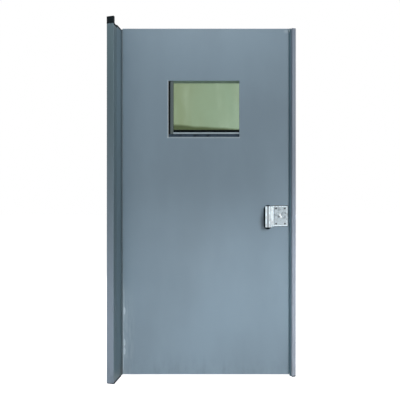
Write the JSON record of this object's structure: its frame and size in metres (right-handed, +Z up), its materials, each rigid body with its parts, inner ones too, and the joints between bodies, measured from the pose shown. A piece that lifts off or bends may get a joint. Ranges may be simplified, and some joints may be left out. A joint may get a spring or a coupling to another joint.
{
  "type": "bullet-resistant door",
  "caption": "Armoured steel door leaf with a glazed panel and a paddle latch, on a full-height hinge between a deep hinge jamb and a slim lock jamb.",
  "frame": {"origin": "on the wall face of the hinge jamb, at floor level, in line with the leaf's front face", "axes": "+Z up, +X from the hinge jamb to the lock jamb, -Y out of the leaf's front face"},
  "size_m": [1.103, 0.249, 2.131],
  "materials": {
    "leaf_paint": "semi-gloss blue-grey enamel",
    "frame_paint": "semi-gloss blue-grey enamel",
    "lock_metal": "bright zinc plating",
    "hinge_steel": "painted over in a dark blue-grey",
    "rubber": "matt",
    "glass": "clear green",
    "cap_plastic": "fine grain",
    "core_board": "laminated fibre board",
    "edge_steel": "satin"
  },
  "bodies": {
    "frame": {"hinge_post": "frame_paint", "hinge_post_cap": "cap_plastic", "hinge_jamb": "frame_paint", "hinge_jamb_top": "frame_paint", "hinge_jamb_foot": "frame_paint", "hinge_post_foot": "frame_paint", "lock_jamb": "frame_paint", "lock_jamb_top": "frame_paint", "lock_jamb_foot": "frame_paint", "head_rail": "frame_paint", "head_seal": "rubber", "hinge_side_seal": "rubber", "lock_side_seal": "rubber", "strike_plate": "edge_steel", "hinge_frame_half": "hinge_steel", "hinge_pin": "hinge_steel"},
    "leaf": {"hinge_leaf_half": "hinge_steel", "leaf_front_skin": "leaf_paint", "leaf_back_skin": "leaf_paint", "leaf_hinge_channel": "leaf_paint", "leaf_lock_channel": "leaf_paint", "leaf_top_channel": "leaf_paint", "leaf_bottom_channel": "leaf_paint", "core_below_window": "core_board", "core_above_window": "core_board", "core_hinge_side": "core_board", "core_lock_side": "core_board", "window_glass": "glass", "window_lip_seal": "rubber", "window_edge_gasket": "rubber", "window_side_bead": "leaf_paint", "window_sill_bead": "leaf_paint", "window_sill_gasket": "rubber", "window_back_gasket": "rubber", "window_back_frame": "leaf_paint", "lock_plate": "lock_metal", "paddle_pin": "lock_metal", "turn_rose": "lock_metal", "latch_faceplate": "edge_steel", "latch_bolt": "edge_steel", "lock_back_plate": "lock_metal", "key_cylinder": "lock_metal"},
    "paddle": {"pull_paddle": "lock_metal"},
    "turn": {"thumb_turn": "lock_metal"}
  },
  "joints": [
    {"name": "leaf_swing", "type": "hinge", "parent": "frame", "child": "leaf", "pos_m": [0.0508, -0.006, 0], "axis": [0, 0, -1], "range_deg": [0, 90]},
    {"name": "paddle_pull", "type": "hinge", "parent": "leaf", "child": "paddle", "pos_m": [0.9655, -0.02, 0.968], "axis": [0, 0, 1], "range_deg": [0, 12], "stiffness_Nm_per_rad": 2},
    {"name": "turn_lock", "type": "hinge", "parent": "leaf", "child": "turn", "pos_m": [1.011, 0, 0.969], "axis": [0, -1, 0], "range_deg": [0, 90]}
  ]
}
